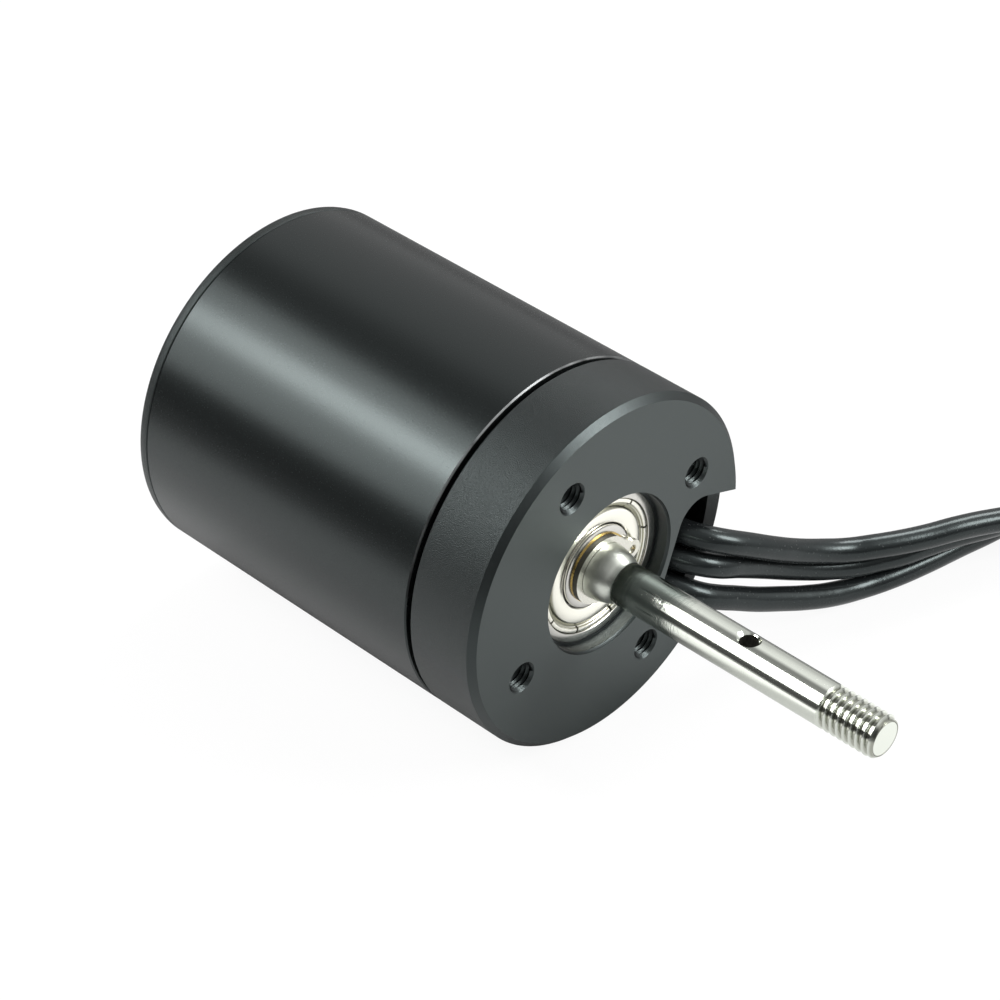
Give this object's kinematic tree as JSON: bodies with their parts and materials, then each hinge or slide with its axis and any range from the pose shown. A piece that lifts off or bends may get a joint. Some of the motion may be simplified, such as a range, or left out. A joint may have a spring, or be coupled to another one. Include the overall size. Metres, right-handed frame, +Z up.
{
  "type": "brushless motor",
  "caption": "Brushless motor with a fixed front cap, a turning outer can, leads from a slot in the cap, and a stepped steel shaft with a cross hole and a threaded end.",
  "frame": {"origin": "centre of the front mounting face, on the shaft's axis", "axes": "+X along the shaft, out of the mounting face; +Z up, as the motor lies on its side on a table"},
  "size_m": [0.1083, 0.177, 0.051],
  "materials": {
    "cap_black": "bead-blasted and anodised black, satin",
    "can_black": "black, satin to gloss, fine grain",
    "aluminium_plain": "machined",
    "stack_plates": "stamped plates, edges blued",
    "insulator": "moulded, matt green",
    "winding": "enamelled copper wire",
    "grommet_rubber": "matt black",
    "bearing_steel": "ground and polished",
    "shield_steel": "pressed, bright",
    "ball_steel": "polished",
    "cage_steel": "pressed",
    "lead_silicone": "black silicone, half gloss",
    "gold_plate": "gold plated, polished",
    "shrink_sleeve": "black shrink sleeve",
    "shaft_steel": "ground and polished",
    "screw_steel": "blackened",
    "magnet_plate": "nickel plated",
    "shim_brass": "rolled",
    "spring_steel": "stamped, oiled"
  },
  "bodies": {
    "stator": {"front_cap": "cap_black", "bearing_tube": "aluminium_plain", "stator_core": "stack_plates", "front_insulator": "insulator", "rear_insulator": "insulator", "coil_1": "winding", "coil_2": "winding", "coil_3": "winding", "coil_4": "winding", "coil_5": "winding", "coil_6": "winding", "coil_7": "winding", "coil_8": "winding", "coil_9": "winding", "coil_10": "winding", "coil_11": "winding", "coil_12": "winding", "lead_grommet": "grommet_rubber", "phase_splices": "winding", "front_outer_ring": "bearing_steel", "front_shield": "shield_steel", "front_inner_shield": "shield_steel", "rear_outer_ring": "bearing_steel", "rear_shields": "shield_steel", "lead_a": "lead_silicone", "lead_b": "lead_silicone", "lead_c": "lead_silicone", "bullet_a": "gold_plate", "bullet_b": "gold_plate", "bullet_c": "gold_plate", "sleeve_a": "shrink_sleeve", "sleeve_b": "shrink_sleeve", "sleeve_c": "shrink_sleeve"},
    "rotor": {"shaft": "shaft_steel", "can": "can_black", "rear_bell": "cap_black", "bell_screw": "screw_steel", "magnet_1": "magnet_plate", "magnet_2": "magnet_plate", "magnet_3": "magnet_plate", "magnet_4": "magnet_plate", "magnet_5": "magnet_plate", "magnet_6": "magnet_plate", "magnet_7": "magnet_plate", "magnet_8": "magnet_plate", "magnet_9": "magnet_plate", "magnet_10": "magnet_plate", "magnet_11": "magnet_plate", "magnet_12": "magnet_plate", "magnet_13": "magnet_plate", "magnet_14": "magnet_plate", "front_inner_ring": "bearing_steel", "rear_inner_ring": "bearing_steel", "front_shim": "shim_brass", "retaining_ring": "spring_steel"},
    "front_ball_set": {"front_balls": "ball_steel", "front_cage": "cage_steel"},
    "rear_ball_set": {"rear_balls": "ball_steel", "rear_cage": "cage_steel"}
  },
  "joints": [
    {"name": "rotor_spin", "type": "hinge", "parent": "stator", "child": "rotor", "pos_m": [0, 0, 0], "axis": [1, 0, 0], "continuous": true},
    {"name": "front_balls_spin", "type": "hinge", "parent": "stator", "child": "front_ball_set", "pos_m": [0, 0, 0], "axis": [1, 0, 0], "continuous": true},
    {"name": "rear_balls_spin", "type": "hinge", "parent": "stator", "child": "rear_ball_set", "pos_m": [0, 0, 0], "axis": [1, 0, 0], "continuous": true}
  ],
  "couplings": [
    {"joint": "front_balls_spin", "follows": "rotor_spin", "ratio": 0.3677},
    {"joint": "rear_balls_spin", "follows": "rotor_spin", "ratio": 0.4055}
  ]
}
